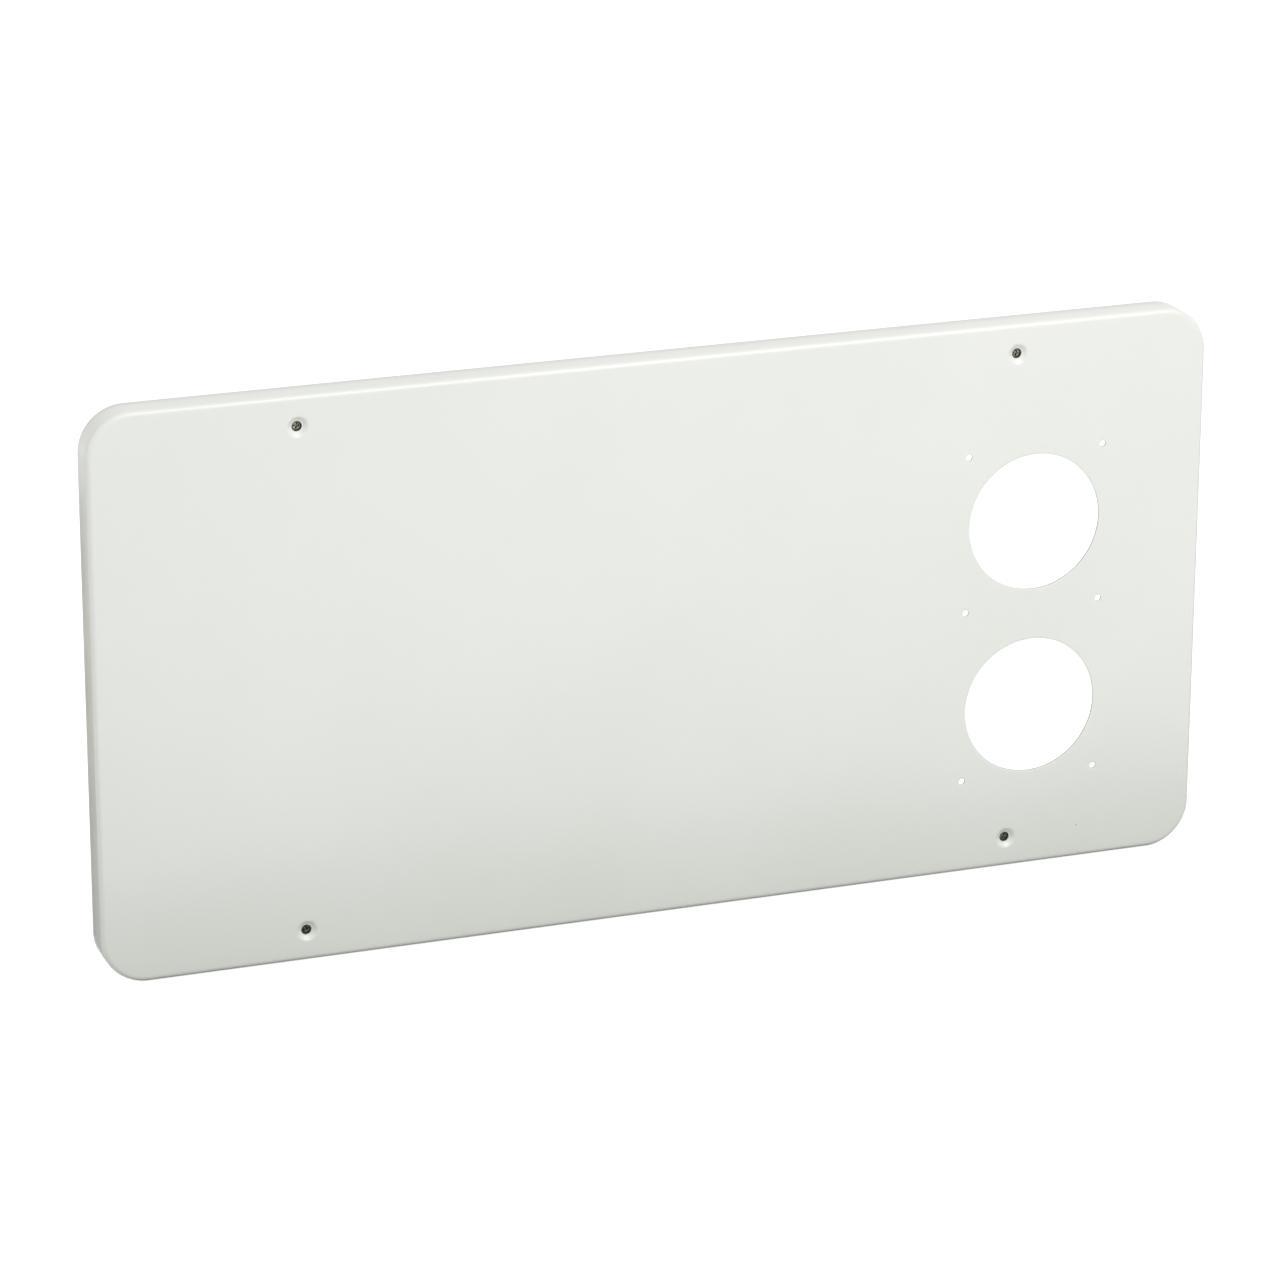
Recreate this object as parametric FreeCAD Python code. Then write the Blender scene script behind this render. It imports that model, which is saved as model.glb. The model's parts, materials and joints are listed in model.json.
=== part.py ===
"""Access door of a caravan furnace: a drawn sheet-steel pan held on by captive screws.

The door is one sheet, bent back all round into a flange, with a dished seat for each fixing screw,
two round cut-outs for the vent tubes and pilot holes for the vent caps.
A driver reaches each screw through the hole in its seat, and a cup behind the seat holds the head.
Frame: millimetres, +Z up, the painted face looks along -Y, the wall is behind the door at y = 0,
and the origin is at the middle of the flange's rim, on the wall.
"""

import FreeCAD, Part

import math
import os

from FreeCAD import Vector

# Sheet and pan
sheet = 0.9
panel_width = 520.7
panel_height = 259.0
flange_depth = 15.0
corner_radius = 20.6
bend_radius = 2.4

# Vent cut-outs, one above the other near the right end
vent_diameter = 63.5
vent_spacing = 87.7
vent_inset = 82.65
vent_pair_rise = -7.85

# Pilot holes for the vent caps, two in a row
pilot_diameter = 2.8
pilot_spacing = 65.5
pilot_above_upper_vent = 33.5
pilot_below_upper_vent = 40.0
pilot_below_lower_vent = 33.5

# Dished screw seats, with a hole for the driver
seat_inset_side = 92.85
seat_inset_edge = 14.0
seat_mouth_diameter = 10.4
seat_mouth_radius = 1.6
seat_depth = 1.6
seat_wall_angle = 42.0
driver_hole_diameter = 4.6

# Captive screws, whose heads are too wide for the driver holes
head_overlap = 0.3
head_play = 0.2
screw_head_height = 1.5
screw_length = 9.5
neck_diameter = 2.8
neck_play = 0.5
thread_diameter = 3.5
recess_span = 2.7
recess_wing = 0.75
recess_depth = 0.95
recess_taper = 0.45

# Cups behind the seats, which hold the screw heads
retainer_clearance = 0.15
retainer_wall = 0.6
retainer_floor = 0.8

# Places that follow from the sizes
face_y = -flange_depth
seat_floor_y = face_y + seat_depth
seat_back_y = seat_floor_y + sheet
head_top_y = seat_back_y + head_play
head_under_y = head_top_y + screw_head_height
retainer_back_y = head_under_y + retainer_floor
thread_start_y = retainer_back_y + neck_play
driver_hole_radius = driver_hole_diameter / 2
head_radius = driver_hole_radius + head_overlap
neck_radius = neck_diameter / 2
thread_radius = thread_diameter / 2
vent_x = panel_width / 2 - vent_inset
upper_vent_z = vent_pair_rise + vent_spacing / 2
lower_vent_z = vent_pair_rise - vent_spacing / 2
pilot_rows = (
    upper_vent_z + pilot_above_upper_vent,
    upper_vent_z - pilot_below_upper_vent,
    lower_vent_z - pilot_below_lower_vent,
)
seat_x = panel_width / 2 - seat_inset_side
seat_z = panel_height / 2 - seat_inset_edge
seats = {
    "upper_left": (-seat_x, seat_z),
    "upper_right": (seat_x, seat_z),
    "lower_left": (-seat_x, -seat_z),
    "lower_right": (seat_x, -seat_z),
}
beyond = 1.0

BACK = Vector(0, 1, 0)


def rounded_block(width, height, radius, front, back):
    """A block with rounded corners seen from the front, between two planes of y."""
    half_w = width / 2
    half_h = height / 2
    turn = radius * (1 - math.sqrt(0.5))
    edges = []
    corners = ((1, 1), (-1, 1), (-1, -1), (1, -1))
    starts = []
    for sx, sz in corners:
        beside = Vector(sx * half_w, front, sz * (half_h - radius))
        along = Vector(sx * (half_w - radius), front, sz * half_h)
        middle = Vector(sx * (half_w - turn), front, sz * (half_h - turn))
        first, last = (beside, along) if sx == sz else (along, beside)
        edges.append(Part.Arc(first, middle, last).toShape())
        starts.append((first, last))
    for index, (_, last) in enumerate(starts):
        following = starts[(index + 1) % len(starts)][0]
        edges.append(Part.makeLine(last, following))
    outline = Part.Wire(Part.__sortEdges__(edges))
    return Part.Face(outline).extrude(Vector(0, back - front, 0))


def round_front(block, front, radius):
    """The same block with the edges of its front face rounded."""
    rim = [e for e in block.Edges if e.BoundBox.YMax < front + radius / 2]
    return block.makeFillet(radius, rim)


def pan():
    """The sheet bent back all round, with one thickness in the face, the bends and the flange."""
    outer = rounded_block(panel_width, panel_height, corner_radius, face_y, 0)
    inner = rounded_block(
        panel_width - 2 * sheet,
        panel_height - 2 * sheet,
        corner_radius - sheet,
        face_y + sheet,
        beyond,
    )
    outer = round_front(outer, face_y, bend_radius)
    inner = round_front(inner, face_y + sheet, bend_radius - sheet)
    return outer.cut(inner)


def drill(x, z, radius):
    """A round cutter through the face."""
    length = sheet + 2 * beyond
    return Part.makeCylinder(radius, length, Vector(x, face_y - beyond, z), BACK)


def spun(profile):
    """A solid turned about the Y axis from a closed run of edges in the XY plane."""
    return Part.Face(Part.Wire(profile)).revolve(Vector(0, 0, 0), BACK, 360)


def turned(corners):
    """A solid turned about the Y axis from its (radius, y) corners."""
    points = [Vector(radius, y, 0) for radius, y in corners]
    return spun(Part.makePolygon(points + points[:1]).Edges)


def screw_seat():
    """A dished seat pressed into the sheet: rounded lip, cone, and flat floor round the driver's hole."""
    angle = math.radians(seat_wall_angle)
    lean = math.tan(angle / 2)
    run = seat_depth / math.tan(angle)
    mouth = seat_mouth_diameter / 2
    floor = mouth - seat_mouth_radius * lean - run
    back_floor = floor + sheet * lean
    lip = []
    for share in (0, angle / 2, angle):
        radius = mouth - seat_mouth_radius * math.sin(share)
        lip.append(Vector(radius, face_y + seat_mouth_radius * (1 - math.cos(share)), 0))
    corners = [
        lip[-1],
        Vector(floor, seat_floor_y, 0),
        Vector(driver_hole_radius, seat_floor_y, 0),
        Vector(driver_hole_radius, seat_back_y, 0),
        Vector(back_floor, seat_back_y, 0),
        Vector(back_floor + run, face_y + sheet, 0),
        Vector(mouth, face_y + sheet, 0),
        lip[0],
    ]
    return spun([Part.Arc(*lip).toShape()] + Part.makePolygon(corners).Edges)


def door_panel():
    """The whole pressed sheet: pan, screw seats, vent cut-outs and pilot holes."""
    sheet_metal = pan()
    seat = screw_seat()
    for x, z in seats.values():
        sheet_metal = sheet_metal.cut(drill(x, z, seat_mouth_diameter / 2))
        sheet_metal = sheet_metal.fuse(seat.translated(Vector(x, 0, z)))
    cutters = [drill(vent_x, z, vent_diameter / 2) for z in (upper_vent_z, lower_vent_z)]
    for z in pilot_rows:
        for side in (-1, 1):
            cutters.append(drill(vent_x + side * pilot_spacing / 2, z, pilot_diameter / 2))
    return sheet_metal.cut(Part.makeCompound(cutters)).removeSplitter()


def cross_outline(span, wing, y):
    """A plus-shaped outline, for the driver recess."""
    reach = span / 2
    half = wing / 2
    points = []
    for quarter in range(4):
        turn = quarter * math.pi / 2
        for along, across in ((reach, -half), (reach, half), (half, half)):
            x = along * math.cos(turn) - across * math.sin(turn)
            z = along * math.sin(turn) + across * math.cos(turn)
            points.append(Vector(x, y, z))
    return Part.makePolygon(points + points[:1])


def fixing_screw():
    """A captive screw behind its driver hole: flat head with a cross recess, thin neck, full thread."""
    tip = head_under_y + screw_length
    body = turned([
        (0, head_top_y),
        (head_radius, head_top_y),
        (head_radius, head_under_y),
        (neck_radius, head_under_y),
        (neck_radius, thread_start_y),
        (thread_radius, thread_start_y),
        (thread_radius, tip),
        (0, tip),
    ])
    mouth = cross_outline(recess_span, recess_wing, head_top_y)
    end = cross_outline(recess_span * recess_taper, recess_wing * recess_taper, head_top_y + recess_depth)
    return body.cut(Part.makeLoft([mouth, end], True))


def screw_retainer():
    """A cup on the back of a seat, which holds the head at the driver hole and stops the thread."""
    inside = head_radius + retainer_clearance
    outside = inside + retainer_wall
    hole = neck_radius + retainer_clearance
    return turned([
        (inside, seat_back_y),
        (outside, seat_back_y),
        (outside, retainer_back_y),
        (hole, retainer_back_y),
        (hole, head_under_y),
        (inside, head_under_y),
    ])


def main():
    os.makedirs("parts", exist_ok=True)
    door_panel().exportStep("parts/door_panel.step")
    screw = fixing_screw()
    retainer = screw_retainer()
    for place, (x, z) in seats.items():
        screw.translated(Vector(x, 0, z)).exportStep(f"parts/fixing_screw_{place}.step")
        retainer.translated(Vector(x, 0, z)).exportStep(f"parts/screw_retainer_{place}.step")


main()
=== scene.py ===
import json
import math

import bmesh
import bpy
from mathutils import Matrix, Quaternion, Vector


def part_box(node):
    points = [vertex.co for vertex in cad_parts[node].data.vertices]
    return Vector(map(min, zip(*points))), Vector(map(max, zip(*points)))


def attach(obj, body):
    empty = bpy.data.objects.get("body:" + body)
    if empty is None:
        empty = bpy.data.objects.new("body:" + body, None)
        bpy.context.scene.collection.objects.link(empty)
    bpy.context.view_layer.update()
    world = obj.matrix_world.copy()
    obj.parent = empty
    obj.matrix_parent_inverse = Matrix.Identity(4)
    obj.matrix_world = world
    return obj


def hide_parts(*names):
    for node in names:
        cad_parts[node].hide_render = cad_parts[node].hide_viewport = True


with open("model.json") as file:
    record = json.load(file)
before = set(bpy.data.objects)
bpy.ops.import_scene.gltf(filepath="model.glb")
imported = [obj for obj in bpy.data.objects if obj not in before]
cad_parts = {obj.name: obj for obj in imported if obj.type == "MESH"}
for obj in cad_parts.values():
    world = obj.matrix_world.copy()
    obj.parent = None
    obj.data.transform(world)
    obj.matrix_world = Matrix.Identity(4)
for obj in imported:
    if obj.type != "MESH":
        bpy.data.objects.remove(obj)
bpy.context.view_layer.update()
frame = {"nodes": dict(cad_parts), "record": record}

# Door panel
# One sheet of steel, blanked and drawn into a shallow pan, with dished seats pressed in for screws
# and the vent and pilot holes punched through, then sprayed and baked in white enamel.
MM = 0.001
mounts = {mount["name"]: mount for mount in frame["record"]["mounts"]}
panel_low, panel_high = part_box("door_panel")
half_width = (panel_high.x - panel_low.x) / 2
half_height = (panel_high.z - panel_low.z) / 2
face_y = panel_low.y
rim_y = panel_high.y
sheet = mounts["upper_vent"]["dims"]["length_mm"] * MM
corner_radius = 20.6 * MM
bend_radius = 2.4 * MM
corner_steps = 20
bend_steps = 8
flat_border = 1.2 * MM
seat_mouth_radius = 5.2 * MM
seat_lip_radius = 1.6 * MM
seat_depth = 1.6 * MM
seat_wall_angle = math.radians(42)
driver_hole_radius = 2.3 * MM
seat_lip_steps = 6
seat_points = 64
vent_points = 128
pilot_points = 32
punched_edge = 0.2 * MM
punched_edge_steps = 2
punched_edge_angle = math.radians(60)
panel_smooth_angle = math.radians(35)


def pattern_places(name):
    """The (x, z) places of a stated hole or screw pattern."""
    mount = mounts[name]
    x, _, z = mount["pos_m"]
    reach_x = mount["dims"]["spacing_x_mm"] * MM / 2
    reach_z = mount["dims"].get("spacing_y_mm", 0) * MM / 2
    rows = (-1, 1) if reach_z else (0,)
    return [(x + side * reach_x, z + row * reach_z) for row in rows for side in (-1, 1)]


def rounded_ring(sheet_mesh, inset, y):
    """One closed ring of points round the panel, inset from its outer edge."""
    radius = corner_radius - inset
    ring = []
    for quarter, (side, rise) in enumerate(((1, 1), (-1, 1), (-1, -1), (1, -1))):
        centre_x = side * (half_width - corner_radius)
        centre_z = rise * (half_height - corner_radius)
        for step in range(corner_steps + 1):
            turn = (quarter + step / corner_steps) * math.pi / 2
            x = centre_x + radius * math.cos(turn)
            z = centre_z + radius * math.sin(turn)
            ring.append(sheet_mesh.verts.new((x, y, z)))
    return ring


def round_ring(sheet_mesh, place, radius, y, points):
    """One closed ring of points round a hole."""
    x, z = place
    turns = [index / points * math.tau for index in range(points)]
    return [
        sheet_mesh.verts.new((x + radius * math.cos(turn), y, z + radius * math.sin(turn)))
        for turn in turns
    ]


def bridge(sheet_mesh, rings):
    """Faces between each ring and the next."""
    for ring, following in zip(rings, rings[1:]):
        for index, vertex in enumerate(ring):
            after = (index + 1) % len(ring)
            sheet_mesh.faces.new((vertex, ring[after], following[after], following[index]))


def ring_edges(sheet_mesh, ring):
    """The edges that close a ring."""
    pairs = zip(ring, ring[1:] + ring[:1])
    return [sheet_mesh.edges.get(pair) or sheet_mesh.edges.new(pair) for pair in pairs]


def seat_profile():
    """Radius and depth of the pressed seat's front skin, from its mouth to its hole."""
    lip = []
    for step in range(seat_lip_steps + 1):
        turn = step / seat_lip_steps * seat_wall_angle
        radius = seat_mouth_radius - seat_lip_radius * math.sin(turn)
        lip.append((radius, seat_lip_radius * (1 - math.cos(turn))))
    wall_top_radius, wall_top_depth = lip[-1]
    floor_radius = wall_top_radius - (seat_depth - wall_top_depth) / math.tan(seat_wall_angle)
    return lip + [(floor_radius, seat_depth), (driver_hole_radius, seat_depth)]


def panel_skin():
    """The painted outer skin of the panel, without thickness."""
    skin = bmesh.new()
    rings = [rounded_ring(skin, 0, rim_y)]
    for step in range(bend_steps + 1):
        turn = step / bend_steps * math.pi / 2
        inset = bend_radius * (1 - math.cos(turn))
        rings.append(rounded_ring(skin, inset, face_y + bend_radius * (1 - math.sin(turn))))
    rings.append(rounded_ring(skin, bend_radius + flat_border, face_y))
    bridge(skin, rings)
    borders = ring_edges(skin, rings[-1])
    holes = []
    for name in ("upper_vent", "lower_vent"):
        x, _, z = mounts[name]["pos_m"]
        holes.append(([(x, z)], mounts[name]["dims"]["r_mm"] * MM, vent_points))
    for name in ("vent_cap_screws_outer", "vent_cap_screws_middle"):
        holes.append((pattern_places(name), mounts[name]["dims"]["hole_r_mm"] * MM, pilot_points))
    for places, radius, points in holes:
        for place in places:
            border = round_ring(skin, place, radius + flat_border, face_y, points)
            bridge(skin, [border, round_ring(skin, place, radius, face_y, points)])
            borders += ring_edges(skin, border)
    profile = [(seat_mouth_radius + flat_border, 0)] + seat_profile()
    for place in pattern_places("fixing_screws"):
        seat_rings = [
            round_ring(skin, place, radius, face_y + depth, seat_points)
            for radius, depth in profile
        ]
        bridge(skin, seat_rings)
        borders += ring_edges(skin, seat_rings[0])
    bmesh.ops.triangle_fill(skin, use_beauty=True, edges=borders, normal=(0, -1, 0))
    bmesh.ops.recalc_face_normals(skin, faces=skin.faces)
    flattest = max(skin.faces, key=lambda face: face.calc_area())
    if flattest.normal.y > 0:
        bmesh.ops.reverse_faces(skin, faces=skin.faces)
    return skin


def linked_object(name, shape):
    """A new object in the scene from a bmesh, which is then freed."""
    mesh = bpy.data.meshes.new(name)
    shape.to_mesh(mesh)
    shape.free()
    made = bpy.data.objects.new(name, mesh)
    bpy.context.scene.collection.objects.link(made)
    return made


def finished_piece(name, source, smooth_angle):
    """A plain mesh object from an object with live modifiers, which is then removed."""
    graph = bpy.context.evaluated_depsgraph_get()
    mesh = bpy.data.meshes.new_from_object(source.evaluated_get(graph), depsgraph=graph)
    mesh.name = name
    mesh.shade_smooth()
    mesh.set_sharp_from_angle(angle=smooth_angle)
    bpy.data.objects.remove(source)
    piece = bpy.data.objects.new(name, mesh)
    bpy.context.scene.collection.objects.link(piece)
    return piece


skin_object = linked_object("panel_skin", panel_skin())
thickness = skin_object.modifiers.new("sheet_thickness", "SOLIDIFY")
thickness.thickness = sheet
thickness.offset = -1
thickness.use_even_offset = True
thickness.use_quality_normals = True
edges = skin_object.modifiers.new("punched_edges", "BEVEL")
edges.width = punched_edge
edges.segments = punched_edge_steps
edges.limit_method = "ANGLE"
edges.angle_limit = punched_edge_angle
panel = finished_piece("white_door_panel", skin_object, panel_smooth_angle)


def feed(links, socket, value):
    """Links a socket to another node's output, or sets it to a plain value."""
    if isinstance(value, bpy.types.NodeSocket):
        links.new(value, socket)
    else:
        socket.default_value = value


def noise(nodes, links, coordinates, scale, detail):
    """A noise texture on the given coordinates, in cycles per metre."""
    texture = nodes.new("ShaderNodeTexNoise")
    texture.inputs["Detail"].default_value = detail
    feed(links, texture.inputs["Scale"], scale)
    feed(links, texture.inputs["Vector"], coordinates)
    return texture.outputs["Fac"]


def ranged(nodes, links, value, low, high, to_low, to_high):
    """A value mapped from one range to another, and held there."""
    mapped = nodes.new("ShaderNodeMapRange")
    limits = (("From Min", low), ("From Max", high), ("To Min", to_low), ("To Max", to_high))
    for label, number in limits:
        feed(links, mapped.inputs[label], number)
    feed(links, mapped.inputs["Value"], value)
    return mapped.outputs["Result"]


def mixed_colour(nodes, links, factor, first, second):
    """One of two colours, or something between them."""
    mix = nodes.new("ShaderNodeMix")
    mix.data_type = "RGBA"
    for label, value in (("Factor", factor), ("A", first), ("B", second)):
        feed(links, mix.inputs[label], value)
    return mix.outputs["Result"]


def distance_to(nodes, links, coordinates, point):
    """How far the given coordinates are from one point, in metres."""
    measure = nodes.new("ShaderNodeVectorMath")
    measure.operation = "DISTANCE"
    measure.inputs[1].default_value = point
    feed(links, measure.inputs[0], coordinates)
    return measure.outputs["Value"]


def folded(nodes, links, coordinates):
    """The coordinates without their signs, so that one quarter of the door stands for all four."""
    fold = nodes.new("ShaderNodeVectorMath")
    fold.operation = "ABSOLUTE"
    links.new(coordinates, fold.inputs[0])
    return fold.outputs["Vector"]


def axes(nodes, links, vector):
    """The parts of a vector, by the name of their axis."""
    split = nodes.new("ShaderNodeSeparateXYZ")
    links.new(vector, split.inputs["Vector"])
    return split.outputs


def calculated(nodes, links, operation, *values):
    """The result of one Math node on plain values or other nodes' outputs."""
    node = nodes.new("ShaderNodeMath")
    node.operation = operation
    for socket, value in zip(node.inputs, values):
        feed(links, socket, value)
    return node.outputs["Value"]


def bump(nodes, links, height, strength, distance):
    """A bump node, to be linked to a shader or to another bump."""
    node = nodes.new("ShaderNodeBump")
    node.inputs["Strength"].default_value = strength
    node.inputs["Distance"].default_value = distance
    links.new(height, node.inputs["Height"])
    return node


coat_detail = 2
patch_range = (0.35, 0.65)
gloss_range = (0.3, 0.7)


def varied_coat_group():
    """A shader group for any coat: patches of a second tone, and a gloss that varies."""
    group = bpy.data.node_groups.new("varied_coat", "ShaderNodeTree")
    for label, kind in (
        ("Place", "NodeSocketVector"),
        ("Tone", "NodeSocketColor"),
        ("Second Tone", "NodeSocketColor"),
        ("Patch Scale", "NodeSocketFloat"),
        ("Gloss Scale", "NodeSocketFloat"),
        ("Smoothest", "NodeSocketFloat"),
        ("Roughest", "NodeSocketFloat"),
    ):
        group.interface.new_socket(label, in_out="INPUT", socket_type=kind)
    group.interface.new_socket("Colour", in_out="OUTPUT", socket_type="NodeSocketColor")
    group.interface.new_socket("Roughness", in_out="OUTPUT", socket_type="NodeSocketFloat")
    nodes, links = group.nodes, group.links
    given = nodes.new("NodeGroupInput").outputs
    result = nodes.new("NodeGroupOutput").inputs
    patches = noise(nodes, links, given["Place"], given["Patch Scale"], coat_detail)
    share = ranged(nodes, links, patches, *patch_range, 0, 1)
    tone = mixed_colour(nodes, links, share, given["Tone"], given["Second Tone"])
    links.new(tone, result["Colour"])
    grain = noise(nodes, links, given["Place"], given["Gloss Scale"], coat_detail)
    gloss = ranged(nodes, links, grain, *gloss_range, given["Smoothest"], given["Roughest"])
    links.new(gloss, result["Roughness"])
    return group


varied_coat = varied_coat_group()


def coated(nodes, links, coordinates, values):
    """The coat's colour and roughness in one material, from its own values."""
    coat = nodes.new("ShaderNodeGroup")
    coat.node_tree = varied_coat
    links.new(coordinates, coat.inputs["Place"])
    for label, value in values.items():
        coat.inputs[label].default_value = value
    return coat.outputs["Colour"], coat.outputs["Roughness"]


def new_material(name):
    """A material with one Principled shader, and that shader."""
    material = bpy.data.materials.new(name)
    material.use_nodes = True
    return material, material.node_tree.nodes["Principled BSDF"]


enamel_white = (0.84, 0.85, 0.81, 1)
enamel_shade = (0.815, 0.83, 0.785, 1)
enamel_back = (0.74, 0.75, 0.71, 1)
enamel_specular = 0.65
back_range = (0.6, 0.9)
# The grey below is painted shade for the hole walls and the punched edges round them.
edge_shade_grey = (0.46, 0.46, 0.43, 1)
edge_shade_range = (0.45, 0.65)
edge_shade_margin = 8.0 * MM
speck_grey = (0.34, 0.35, 0.31, 1)
speck_place = (203.0 * MM, face_y, -113.7 * MM)
speck_radius = 0.36 * MM
speck_core = 0.6 * speck_radius
peel_scale = 620
peel_detail = 2
peel_strength = 0.25
peel_height = 0.02 * MM
wave_scale = 7
wave_detail = 1
wave_strength = 0.5
wave_height = 0.5 * MM

enamel, shader = new_material("white_baked_enamel")
nodes, links = enamel.node_tree.nodes, enamel.node_tree.links
place = nodes.new("ShaderNodeTexCoord")
at = place.outputs["Object"]
tone, gloss = coated(nodes, links, at, {
    "Tone": enamel_white,
    "Second Tone": enamel_shade,
    "Patch Scale": 9,
    "Gloss Scale": 60,
    "Smoothest": 0.29,
    "Roughest": 0.35,
})
facing_back = axes(nodes, links, place.outputs["Normal"])["Y"]
behind = ranged(nodes, links, facing_back, *back_range, 0, 1)
tone = mixed_colour(nodes, links, behind, tone, enamel_back)
# Painted shade: sideways faces inside the flanges, the hole walls and their punched edges, are
# greyed as if in shade.
sideways = calculated(nodes, links, "ABSOLUTE", facing_back)
painted_edge_shade = ranged(nodes, links, sideways, *edge_shade_range, 1, 0)
spread = axes(nodes, links, folded(nodes, links, at))
for reach, half in ((spread["X"], half_width), (spread["Z"], half_height)):
    within = calculated(nodes, links, "LESS_THAN", reach, half - edge_shade_margin)
    painted_edge_shade = calculated(nodes, links, "MULTIPLY", painted_edge_shade, within)
tone = mixed_colour(nodes, links, painted_edge_shade, tone, edge_shade_grey)
from_speck = distance_to(nodes, links, at, speck_place)
speck = ranged(nodes, links, from_speck, speck_core, speck_radius, 1, 0)
tone = mixed_colour(nodes, links, speck, tone, speck_grey)
links.new(tone, shader.inputs["Base Color"])
links.new(gloss, shader.inputs["Roughness"])
shader.inputs["Specular IOR Level"].default_value = enamel_specular
peel_noise = noise(nodes, links, at, peel_scale, peel_detail)
peel = bump(nodes, links, peel_noise, peel_strength, peel_height)
wave_noise = noise(nodes, links, at, wave_scale, wave_detail)
wave = bump(nodes, links, wave_noise, wave_strength, wave_height)
links.new(wave.outputs["Normal"], peel.inputs["Normal"])
links.new(peel.outputs["Normal"], shader.inputs["Normal"])
panel.data.materials.clear()
panel.data.materials.append(enamel)
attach(panel, "root")
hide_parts("door_panel")

# Fixing screws
# Small plated steel screws with flat heads and cross recesses, captive behind the driver holes,
# which are narrower than the heads, so that a driver turns them from outside.
screw_low, screw_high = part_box("fixing_screw_upper_left")
head_radius = (screw_high.x - screw_low.x) / 2
head_top_y = screw_low.y
tip_y = screw_high.y
head_height = 1.5 * MM
head_edge = 0.25 * MM
head_edge_steps = 4
thread_radius = mounts["fixing_screws"]["dims"]["stud_r_mm"] * MM
thread_root_radius = 1.35 * MM
thread_pitch = 0.8 * MM
thread_point = 0.8 * MM
under_head_y = head_top_y + head_height
cup_floor = 0.8 * MM
neck_play = 0.5 * MM
thread_start_y = under_head_y + cup_floor + neck_play
recess_reach = 1.35 * MM
recess_half_wing = 0.38 * MM
recess_depth = 0.95 * MM
recess_taper = 0.45
screw_points = 48
screw_smooth_angle = math.radians(30)
recess_turn = math.pi / screw_points
recess_clear = 0.1 * MM
thread_turn_points = 24
thread_ridge_points = 6


def spun_solid(profile, points):
    """A closed solid turned about the Y axis, from (radius, y) pairs that begin and end on it."""
    solid = bmesh.new()
    rings = [round_ring(solid, (0, 0), radius, y, points) for radius, y in profile[1:-1]]
    bridge(solid, rings)
    for ring, (_, y) in ((rings[0], profile[0]), (rings[-1], profile[-1])):
        tip = solid.verts.new((0, y, 0))
        for index, vertex in enumerate(ring):
            solid.faces.new((vertex, ring[(index + 1) % points], tip))
    bmesh.ops.recalc_face_normals(solid, faces=solid.faces)
    return solid


def screw_blank():
    """One screw on the origin's axis, without its thread turns."""
    crown = []
    for step in range(head_edge_steps + 1):
        turn = step / head_edge_steps * math.pi / 2
        radius = head_radius - head_edge * (1 - math.sin(turn))
        crown.append((radius, head_top_y + head_edge * (1 - math.cos(turn))))
    profile = [(0, head_top_y)] + crown + [
        (head_radius, under_head_y),
        (thread_root_radius, under_head_y),
        (thread_root_radius, tip_y - thread_point),
        (thread_root_radius - thread_point, tip_y),
        (0, tip_y),
    ]
    return spun_solid(profile, screw_points)


def recess_cutter():
    """The tapered cross of a screwdriver's tip, turned half a facet off the head's own points."""
    cutter = bmesh.new()
    mouth = (head_top_y - recess_clear, 1 + recess_clear / recess_depth)
    end = (head_top_y + recess_depth, recess_taper)
    loops = []
    for y, share in (mouth, end):
        loop = []
        for quarter in range(4):
            turn = Quaternion((0, 1, 0), recess_turn + quarter * math.pi / 2)
            for along, across in (
                (recess_reach, -recess_half_wing),
                (recess_reach, recess_half_wing),
                (recess_half_wing, recess_half_wing),
            ):
                point = turn @ Vector((along * share, 0, -across * share))
                loop.append(cutter.verts.new((point.x, y, point.z)))
        loops.append(loop)
    bridge(cutter, loops)
    for loop in loops:
        cutter.faces.new(loop)
    bmesh.ops.recalc_face_normals(cutter, faces=cutter.faces)
    return cutter


def tree_with(name, inputs):
    """A Geometry Nodes tree with geometry in and out and named inputs."""
    tree = bpy.data.node_groups.new(name, "GeometryNodeTree")
    tree.interface.new_socket("Geometry", in_out="INPUT", socket_type="NodeSocketGeometry")
    for label, kind in inputs:
        tree.interface.new_socket(label, in_out="INPUT", socket_type=kind)
    tree.interface.new_socket("Geometry", in_out="OUTPUT", socket_type="NodeSocketGeometry")
    return tree, tree.nodes.new("NodeGroupInput"), tree.nodes.new("NodeGroupOutput")


def run_tree(target, tree, values):
    """Adds the tree to an object as a modifier, with its inputs set by identifier."""
    modifier = target.modifiers.new(tree.name, "NODES")
    modifier.node_group = tree
    for item in tree.interface.items_tree:
        if item.in_out == "INPUT" and item.name in values:
            modifier[item.identifier] = values[item.name]


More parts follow.
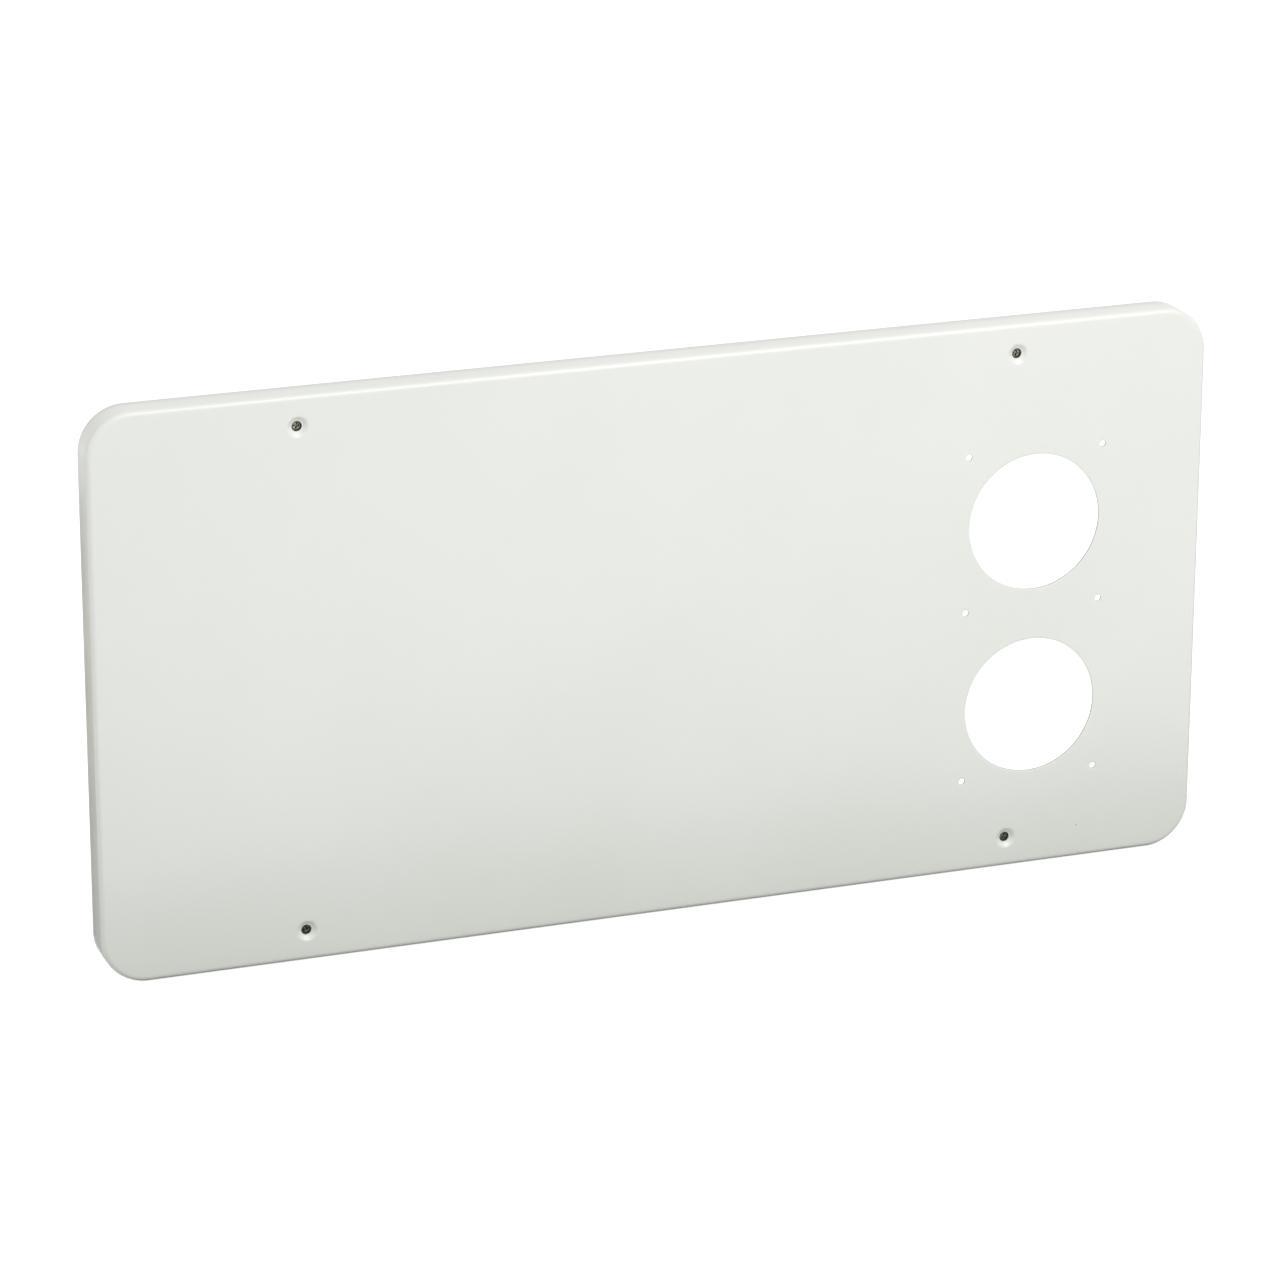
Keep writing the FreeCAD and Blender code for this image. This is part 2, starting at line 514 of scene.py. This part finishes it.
def placing_tree():
    """Copies of one piece at the fixing pattern's corners, each turned by its own angle."""
    tree, given, result = tree_with("at_fixing_places", [
        ("Spacing Across", "NodeSocketFloat"),
        ("Spacing Up", "NodeSocketFloat"),
        ("Seed", "NodeSocketInt"),
        ("Material", "NodeSocketMaterial"),
    ])
    grid = tree.nodes.new("GeometryNodeMeshGrid")
    grid.inputs["Vertices X"].default_value = 2
    grid.inputs["Vertices Y"].default_value = 2
    tree.links.new(given.outputs["Spacing Across"], grid.inputs["Size X"])
    tree.links.new(given.outputs["Spacing Up"], grid.inputs["Size Y"])
    upright = tree.nodes.new("GeometryNodeTransform")
    upright.inputs["Rotation"].default_value = (math.pi / 2, 0, 0)
    tree.links.new(grid.outputs["Mesh"], upright.inputs["Geometry"])
    turn = tree.nodes.new("FunctionNodeRandomValue")
    turn.data_type = "FLOAT_VECTOR"
    turn.inputs["Min"].default_value = (0, 0, 0)
    turn.inputs["Max"].default_value = (0, math.pi, 0)
    tree.links.new(given.outputs["Seed"], turn.inputs["Seed"])
    copies = tree.nodes.new("GeometryNodeInstanceOnPoints")
    tree.links.new(upright.outputs["Geometry"], copies.inputs["Points"])
    tree.links.new(given.outputs["Geometry"], copies.inputs["Instance"])
    tree.links.new(turn.outputs["Value"], copies.inputs["Rotation"])
    real = tree.nodes.new("GeometryNodeRealizeInstances")
    tree.links.new(copies.outputs["Instances"], real.inputs["Geometry"])
    finish = tree.nodes.new("GeometryNodeSetMaterial")
    tree.links.new(real.outputs["Geometry"], finish.inputs["Geometry"])
    tree.links.new(given.outputs["Material"], finish.inputs["Material"])
    tree.links.new(finish.outputs["Geometry"], result.inputs["Geometry"])
    return tree


def thread_tree():
    """A screw blank with a sharp thread swept round its shank along a spiral."""
    tree, given, result = tree_with("thread_turns", [
        ("Thread Radius", "NodeSocketFloat"),
        ("Root Radius", "NodeSocketFloat"),
        ("Pitch", "NodeSocketFloat"),
        ("Start", "NodeSocketFloat"),
        ("Length", "NodeSocketFloat"),
    ])
    nodes, links = tree.nodes, tree.links
    length, root = given.outputs["Length"], given.outputs["Root Radius"]
    turns = calculated(nodes, links, "DIVIDE", length, given.outputs["Pitch"])
    spiral = nodes.new("GeometryNodeCurveSpiral")
    spiral.inputs["Resolution"].default_value = thread_turn_points
    links.new(turns, spiral.inputs["Rotations"])
    links.new(root, spiral.inputs["Start Radius"])
    links.new(root, spiral.inputs["End Radius"])
    links.new(length, spiral.inputs["Height"])
    ridge = nodes.new("GeometryNodeCurvePrimitiveCircle")
    ridge.inputs["Resolution"].default_value = thread_ridge_points
    height = calculated(nodes, links, "SUBTRACT", given.outputs["Thread Radius"], root)
    links.new(height, ridge.inputs["Radius"])
    sweep = nodes.new("GeometryNodeCurveToMesh")
    sweep.inputs["Fill Caps"].default_value = True
    links.new(spiral.outputs["Curve"], sweep.inputs["Curve"])
    links.new(ridge.outputs["Curve"], sweep.inputs["Profile Curve"])
    lay = nodes.new("GeometryNodeTransform")
    lay.inputs["Rotation"].default_value = (-math.pi / 2, 0, 0)
    start = nodes.new("ShaderNodeCombineXYZ")
    links.new(given.outputs["Start"], start.inputs["Y"])
    links.new(start.outputs["Vector"], lay.inputs["Translation"])
    links.new(sweep.outputs["Mesh"], lay.inputs["Geometry"])
    joined = nodes.new("GeometryNodeJoinGeometry")
    links.new(given.outputs["Geometry"], joined.inputs["Geometry"])
    links.new(lay.outputs["Geometry"], joined.inputs["Geometry"])
    links.new(joined.outputs["Geometry"], result.inputs["Geometry"])
    return tree


spacing_across = mounts["fixing_screws"]["dims"]["spacing_x_mm"] * MM
spacing_up = mounts["fixing_screws"]["dims"]["spacing_y_mm"] * MM
plated_dark = (0.06, 0.058, 0.048, 1)
plated_brown = (0.11, 0.105, 0.085, 1)
plated_metallic = 0.9
# The lighter olive below is a painted highlight, for glints in the middle of each screw head.
glint_olive = (0.42, 0.41, 0.32, 1)
glint_core = 0.9 * MM
glint_reach = 1.9 * MM
glint_scale = 1000
glint_detail = 2
glint_range = (0.42, 0.58)
scuff_scale = 1400
scuff_detail = 2
scuff_strength = 0.5
scuff_height = 0.06 * MM
screw_seed = 4

screw_steel, shader = new_material("dark_plated_steel")
nodes, links = screw_steel.node_tree.nodes, screw_steel.node_tree.links
at = nodes.new("ShaderNodeTexCoord").outputs["Object"]
tone, gloss = coated(nodes, links, at, {
    "Tone": plated_dark,
    "Second Tone": plated_brown,
    "Patch Scale": 900,
    "Gloss Scale": 2400,
    "Smoothest": 0.26,
    "Roughest": 0.42,
})
# Painted highlights: lighter olive patches in the middle of each head, which fade out so that the
# rim stays dark like shade from the hole's edge.
head_middle = (spacing_across / 2, -head_top_y, spacing_up / 2)
from_middle = distance_to(nodes, links, folded(nodes, links, at), head_middle)
near_middle = ranged(nodes, links, from_middle, glint_core, glint_reach, 1, 0)
glint_noise = noise(nodes, links, at, glint_scale, glint_detail)
patches = ranged(nodes, links, glint_noise, *glint_range, 0, 1)
painted_glints = calculated(nodes, links, "MULTIPLY", near_middle, patches)
tone = mixed_colour(nodes, links, painted_glints, tone, glint_olive)
links.new(tone, shader.inputs["Base Color"])
links.new(gloss, shader.inputs["Roughness"])
shader.inputs["Metallic"].default_value = plated_metallic
scuff_noise = noise(nodes, links, at, scuff_scale, scuff_detail)
scuffs = bump(nodes, links, scuff_noise, scuff_strength, scuff_height)
links.new(scuffs.outputs["Normal"], shader.inputs["Normal"])

cutter = linked_object("driver_recess", recess_cutter())
blank = linked_object("screw_blank", screw_blank())
cut = blank.modifiers.new("driver_recess", "BOOLEAN")
cut.operation = "DIFFERENCE"
cut.solver = "EXACT"
cut.object = cutter
thread_length = tip_y - thread_point - thread_start_y - thread_pitch
run_tree(blank, thread_tree(), {
    "Thread Radius": thread_radius,
    "Root Radius": thread_root_radius,
    "Pitch": thread_pitch,
    "Start": thread_start_y + thread_pitch / 2,
    "Length": thread_length,
})
placing = placing_tree()
run_tree(blank, placing, {
    "Spacing Across": spacing_across,
    "Spacing Up": spacing_up,
    "Seed": screw_seed,
    "Material": screw_steel,
})
screws = finished_piece("captive_screws", blank, screw_smooth_angle)
bpy.data.objects.remove(cutter)
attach(screws, "root")
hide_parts(*[name for name in frame["nodes"] if name.startswith("fixing_screw_")])

# Screw retainers
# Small cups pressed from steel strip and fixed to the back of each seat.
# The screw's head turns inside the cup, and its neck runs out through the hole in the cup's floor.
retainer_low, retainer_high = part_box("screw_retainer_upper_left")
cup_radius = (retainer_high.x - retainer_low.x) / 2
cup_mouth_y = retainer_low.y
cup_back_y = retainer_high.y
cup_clearance = 0.15 * MM
cup_bore_radius = head_radius + cup_clearance
cup_hole_radius = 1.55 * MM
cup_edge = 0.5 * MM
cup_edge_steps = 6
cup_hole_edge = 0.15 * MM
cup_points = 64
cup_smooth_angle = math.radians(30)


def retainer_blank():
    """One cup on the origin's axis, with the rounded outer edge of a pressing."""
    pressed = []
    for step in range(cup_edge_steps + 1):
        turn = step / cup_edge_steps * math.pi / 2
        radius = cup_radius - cup_edge * (1 - math.cos(turn))
        pressed.append((radius, cup_back_y - cup_edge * (1 - math.sin(turn))))
    profile = [(cup_bore_radius, cup_mouth_y), (cup_radius, cup_mouth_y)] + pressed + [
        (cup_hole_radius + cup_hole_edge, cup_back_y),
        (cup_hole_radius, cup_back_y - cup_hole_edge),
        (cup_hole_radius, under_head_y),
        (cup_bore_radius, under_head_y),
    ]
    cup = bmesh.new()
    rings = [round_ring(cup, (0, 0), radius, y, cup_points) for radius, y in profile]
    bridge(cup, rings + rings[:1])
    bmesh.ops.recalc_face_normals(cup, faces=cup.faces)
    return cup


cup_grey = (0.2, 0.195, 0.18, 1)
cup_dark = (0.09, 0.088, 0.08, 1)
cup_metallic = 0.85
cup_seed = 9

cup_steel, shader = new_material("grey_plated_steel")
nodes, links = cup_steel.node_tree.nodes, cup_steel.node_tree.links
at = nodes.new("ShaderNodeTexCoord").outputs["Object"]
tone, gloss = coated(nodes, links, at, {
    "Tone": cup_grey,
    "Second Tone": cup_dark,
    "Patch Scale": 1600,
    "Gloss Scale": 800,
    "Smoothest": 0.4,
    "Roughest": 0.6,
})
links.new(tone, shader.inputs["Base Color"])
links.new(gloss, shader.inputs["Roughness"])
shader.inputs["Metallic"].default_value = cup_metallic

cup = linked_object("retainer_blank", retainer_blank())
run_tree(cup, placing, {
    "Spacing Across": spacing_across,
    "Spacing Up": spacing_up,
    "Seed": cup_seed,
    "Material": cup_steel,
})
retainers = finished_piece("screw_retainers", cup, cup_smooth_angle)
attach(retainers, "root")
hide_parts(*[name for name in frame["nodes"] if name.startswith("screw_retainer_")])

# Floor
# A pale studio floor under the door's lower edge, wide enough to fill the picture behind it.
# It glows for the camera and for mirrors only, so it looks white and adds no light of its own.
floor_reach = 9.0
floor_white = (0.8, 0.8, 0.8, 1)
floor_lift = 0.75
matte_roughness = 0.9


def seen_directly(nodes, links):
    """One for rays from the camera, mirrors and glass, nothing for light that falls on things."""
    path = nodes.new("ShaderNodeLightPath").outputs
    mirrored = calculated(nodes, links, "MAXIMUM", path["Is Camera Ray"], path["Is Glossy Ray"])
    return calculated(nodes, links, "MAXIMUM", mirrored, path["Is Transmission Ray"])


def matte(name, colour):
    """A material of one colour without any shine, and its shader."""
    material, shader = new_material(name)
    shader.inputs["Base Color"].default_value = colour
    shader.inputs["Roughness"].default_value = matte_roughness
    shader.inputs["Specular IOR Level"].default_value = 0.0
    return material, shader


paper, shader = matte("pale_floor", floor_white)
nodes, links = paper.node_tree.nodes, paper.node_tree.links
lift = calculated(nodes, links, "MULTIPLY", seen_directly(nodes, links), floor_lift)
shader.inputs["Emission Color"].default_value = (1, 1, 1, 1)
links.new(lift, shader.inputs["Emission Strength"])
ground = bmesh.new()
bmesh.ops.create_grid(ground, x_segments=1, y_segments=1, size=floor_reach)
bmesh.ops.translate(ground, verts=ground.verts, vec=(0, 0, panel_low.z))
floor = linked_object("floor", ground)
floor.data.materials.append(paper)

# Cards
# Strips of card on the floor that the camera doesn't see, put there as painted shade: a dark one at
# the door's very foot, which darkens the bottom bend like contact shade, and a grey one in front of
# it, which tones the lower part of the face, and sheets behind both ends, which only show as
# mirrored shade in the left flange and the right bend.
card_lift = 0.1 * MM
card_z = panel_low.z + card_lift
card_reach = 0.9
near_sheet_reach = 0.25
far_sheet_reach = 0.74
sheet_start = 0.06
sheet_spread = 0.42
right_sheet_reach = 0.9
foot_under = 1.5 * MM
foot_width = 1.5 * MM
grey_width_left = 0.114
grey_width_right = 0.088
foot_colour = (0.3, 0.3, 0.29, 1)
grey_colour = (0.44, 0.48, 0.44, 1)
near_colour = (0.08, 0.08, 0.05, 1)
far_colour = (0.34, 0.34, 0.22, 1)
right_colour = (0.08, 0.08, 0.07, 1)
grey_slope = (grey_width_left - grey_width_right) / (2 * half_width)
grey_width_middle = (grey_width_left + grey_width_right) / 2
foot_strip = (
    (-card_reach, face_y + foot_under),
    (-card_reach, face_y - foot_width),
    (card_reach, face_y - foot_width),
    (card_reach, face_y + foot_under),
)
grey_strip = (
    (-card_reach, face_y - foot_width),
    (-card_reach, face_y - grey_width_middle - grey_slope * card_reach),
    (card_reach, face_y - grey_width_middle + grey_slope * card_reach),
    (card_reach, face_y - foot_width),
)
right_sheet = (
    (half_width, rim_y),
    (half_width, rim_y + right_sheet_reach),
    (half_width + right_sheet_reach, rim_y + right_sheet_reach),
    (half_width + right_sheet_reach, rim_y),
)


def flange_sheet(near, far):
    """A sheet behind the left end that spreads to the left, between two distances from the wall."""
    left = [-half_width - sheet_start - sheet_spread * reach for reach in (near, far)]
    return (
        (-half_width, rim_y + near),
        (left[0], rim_y + near),
        (left[1], rim_y + far),
        (-half_width, rim_y + far),
    )


cards = (
    ("foot_strip", foot_strip, foot_colour, True),
    ("grey_strip", grey_strip, grey_colour, True),
    ("near_sheet", flange_sheet(0, near_sheet_reach), near_colour, False),
    ("far_sheet", flange_sheet(near_sheet_reach, far_sheet_reach), far_colour, False),
    ("right_sheet", right_sheet, right_colour, False),
)
for name, corners, colour, lights_door in cards:
    card_shape = bmesh.new()
    card_shape.faces.new([card_shape.verts.new((x, y, card_z)) for x, y in corners])
    card = linked_object(name, card_shape)
    card_paint, _ = matte(name, colour)
    card.data.materials.append(card_paint)
    card.visible_camera = False
    card.visible_shadow = False
    card.visible_diffuse = lights_door

# Light
# One large soft lamp in front of the door, high up and a little to the right, and a weak one far to
# the left, in an evenly lit room.
lamps = (
    ("key_lamp", Vector((0.4, -1.05, 1.25)), 1.3, 15.6),
    ("side_lamp", Vector((-1.5, -0.2, 0.3)), 0.8, 2.4),
)
for name, lamp_place, lamp_width, lamp_power in lamps:
    lamp_data = bpy.data.lights.new(name, "AREA")
    lamp_data.size = lamp_width
    lamp_data.energy = lamp_power
    lamp = bpy.data.objects.new(name, lamp_data)
    lamp.location = lamp_place
    lamp.rotation_euler = (-lamp_place).to_track_quat("-Z", "Y").to_euler()
    bpy.context.scene.collection.objects.link(lamp)

room_light = 0.54
room_seen = 1.0
world = bpy.data.worlds.new("room")
world.use_nodes = True
bpy.context.scene.world = world
nodes, links = world.node_tree.nodes, world.node_tree.links
background = nodes["Background"]
background.inputs["Color"].default_value = (1, 1, 1, 1)
level = ranged(nodes, links, seen_directly(nodes, links), 0, 1, room_light, room_seen)
links.new(level, background.inputs["Strength"])

# Camera
# A long lens to the left of the door and above it, aimed a little off the middle of its face.
# Its place, aim, roll and lens were fitted to the door's outline and holes.
camera_place = Vector((-0.7868, -2.1167, 0.7718))
camera_aim = Vector((-0.0120, -0.0150, 0.0016))
camera_roll = math.radians(0.142)
camera_lens = 150.7
camera_sensor = 36
camera_data = bpy.data.cameras.new("camera")
camera_data.sensor_width = camera_sensor
camera_data.lens = camera_lens
camera = bpy.data.objects.new("camera", camera_data)
camera.location = camera_place
camera.rotation_mode = "QUATERNION"
level_view = (camera_aim - camera_place).to_track_quat("-Z", "Y")
camera.rotation_quaternion = level_view @ Quaternion((0, 0, 1), camera_roll)
bpy.context.scene.collection.objects.link(camera)
bpy.context.scene.camera = camera
bpy.context.scene.view_settings.view_transform = "Standard"

bpy.context.view_layer.update()
